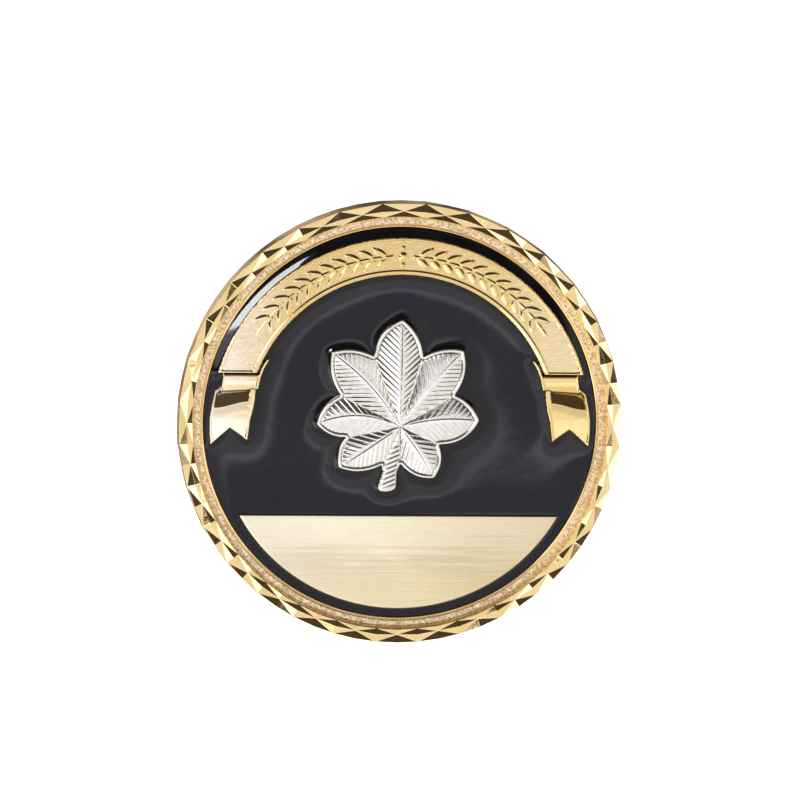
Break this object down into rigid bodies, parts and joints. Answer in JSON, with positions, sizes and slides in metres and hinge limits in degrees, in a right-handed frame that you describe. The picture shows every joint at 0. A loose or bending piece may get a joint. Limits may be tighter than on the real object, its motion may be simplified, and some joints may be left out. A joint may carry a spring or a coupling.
{
  "type": "challenge coin",
  "caption": "Round presentation coin with a diamond-cut rim, black enamel front, gold scroll, silver leaf emblem and a blank brushed plate for engraving.",
  "frame": {"origin": "centre of the back, on the plane of the flat land that the coin rests on", "axes": "+Z out of the front face, +Y to 12 o'clock (towards the middle of the scroll), +X to the right seen from the front"},
  "size_m": [0.0444, 0.0444, 0.0035],
  "materials": {
    "gold_plate": "polished gold plate on struck brass, with a sandblasted ring",
    "scroll_gold": "satin gold plate on struck brass",
    "brushed_gold": "gold plate brushed along X",
    "silver_plate": "bright silver plate on struck brass",
    "black_enamel": "glossy black enamel with a raised edge where it wets the metal",
    "tin_solder": "dull tin solder"
  },
  "bodies": {
    "root": {"coin_body": "gold_plate", "front_enamel": "black_enamel", "scroll_banner": "scroll_gold", "scroll_solder": "tin_solder", "scroll_post_left": "gold_plate", "scroll_post_right": "gold_plate", "engraving_plate": "brushed_gold", "plate_solder": "tin_solder", "plate_post_left": "gold_plate", "plate_post_right": "gold_plate", "leaf_emblem": "silver_plate", "leaf_solder": "tin_solder", "leaf_post_upper": "silver_plate", "leaf_post_lower": "silver_plate"}
  },
  "joints": []
}
